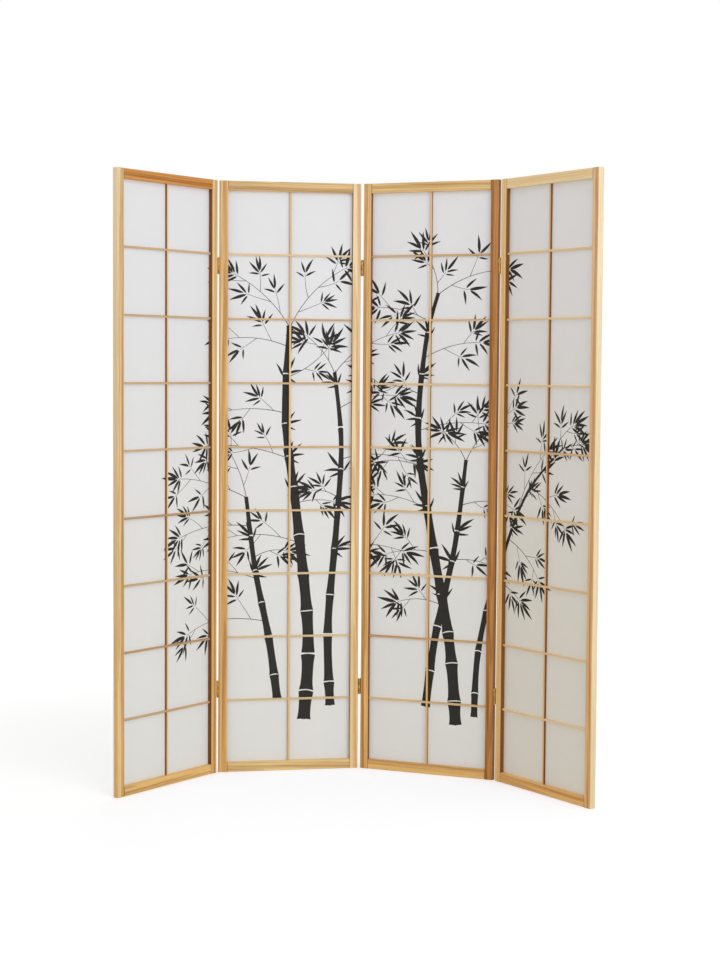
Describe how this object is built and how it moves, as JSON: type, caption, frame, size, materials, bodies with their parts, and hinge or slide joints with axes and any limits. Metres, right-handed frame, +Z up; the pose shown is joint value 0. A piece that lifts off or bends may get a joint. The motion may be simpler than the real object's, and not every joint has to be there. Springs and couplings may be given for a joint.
{
  "type": "folding screen",
  "caption": "Free-standing folding screen: framed lattice panels with translucent paper behind, joined by double-action hinges.",
  "frame": {"origin": "on the floor, below the centre of the box around the standing screen", "axes": "+X to the right along the line between the screen's two free ends, +Y away from the viewer (the fronts face -Y), +Z up"},
  "size_m": [1.3704, 0.4976, 1.79],
  "materials": {
    "frame_wood": "clear satin lacquer on light softwood",
    "lattice_wood": "clear satin lacquer on light softwood",
    "dowel_wood": "bare hardwood dowel",
    "paper": "matte white translucent screen paper",
    "hinge_brass": "brass plated, slightly dull",
    "screw_brass": "brass plated"
  },
  "bodies": {
    "panel_1": {"panel_1_left_stile": "frame_wood", "panel_1_right_stile": "frame_wood", "panel_1_top_rail": "frame_wood", "panel_1_bottom_rail": "frame_wood", "panel_1_upright_bar": "lattice_wood", "panel_1_cross_bars": "lattice_wood", "panel_1_paper": "paper", "panel_1_dowels": "dowel_wood", "hinge_12_left_leaves": "hinge_brass", "hinge_12_left_screws": "screw_brass"},
    "panel_2": {"panel_2_left_stile": "frame_wood", "panel_2_right_stile": "frame_wood", "panel_2_top_rail": "frame_wood", "panel_2_bottom_rail": "frame_wood", "panel_2_upright_bar": "lattice_wood", "panel_2_cross_bars": "lattice_wood", "panel_2_paper": "paper", "panel_2_dowels": "dowel_wood", "hinge_12_right_leaves": "hinge_brass", "hinge_12_right_screws": "screw_brass", "hinge_23_left_leaves": "hinge_brass", "hinge_23_left_screws": "screw_brass"},
    "panel_3": {"panel_3_left_stile": "frame_wood", "panel_3_right_stile": "frame_wood", "panel_3_top_rail": "frame_wood", "panel_3_bottom_rail": "frame_wood", "panel_3_upright_bar": "lattice_wood", "panel_3_cross_bars": "lattice_wood", "panel_3_paper": "paper", "panel_3_dowels": "dowel_wood", "hinge_23_right_leaves": "hinge_brass", "hinge_23_right_screws": "screw_brass", "hinge_34_left_leaves": "hinge_brass", "hinge_34_left_screws": "screw_brass"},
    "panel_4": {"panel_4_left_stile": "frame_wood", "panel_4_right_stile": "frame_wood", "panel_4_top_rail": "frame_wood", "panel_4_bottom_rail": "frame_wood", "panel_4_upright_bar": "lattice_wood", "panel_4_cross_bars": "lattice_wood", "panel_4_paper": "paper", "panel_4_dowels": "dowel_wood", "hinge_34_right_leaves": "hinge_brass", "hinge_34_right_screws": "screw_brass"},
    "link_12": {"hinge_12_links": "hinge_brass", "hinge_12_front_pins": "hinge_brass", "hinge_12_back_pins": "hinge_brass"},
    "link_23": {"hinge_23_links": "hinge_brass", "hinge_23_front_pins": "hinge_brass", "hinge_23_back_pins": "hinge_brass"},
    "link_34": {"hinge_34_links": "hinge_brass", "hinge_34_front_pins": "hinge_brass", "hinge_34_back_pins": "hinge_brass"}
  },
  "joints": [
    {"name": "joint_12_back_pin", "type": "hinge", "parent": "panel_2", "child": "link_12", "pos_m": [-0.44242, 0.13686, 0.895], "axis": [0, 0, 1], "range_deg": [-180, 0]},
    {"name": "joint_12_front_pin", "type": "hinge", "parent": "link_12", "child": "panel_1", "pos_m": [-0.43711, 0.11634, 0.895], "axis": [0, 0, 1], "range_deg": [-43.2, 136.8]},
    {"name": "joint_23_front_pin", "type": "hinge", "parent": "panel_2", "child": "link_23", "pos_m": [-0.01404, 0.22578, 0.895], "axis": [0, 0, 1], "range_deg": [-107.4, 32.6]},
    {"name": "joint_23_back_pin", "type": "hinge", "parent": "link_23", "child": "panel_3", "pos_m": [-0.00745, 0.24593, 0.895], "axis": [0, 0, 1], "range_deg": [0, 179]},
    {"name": "joint_34_front_pin", "type": "hinge", "parent": "panel_3", "child": "link_34", "pos_m": [0.40135, 0.09004, 0.895], "axis": [0, 0, -1], "range_deg": [-33.6, 146.4]},
    {"name": "joint_34_back_pin", "type": "hinge", "parent": "link_34", "child": "panel_4", "pos_m": [0.41798, 0.10318, 0.895], "axis": [0, 0, -1], "range_deg": [-180, 0]}
  ]
}
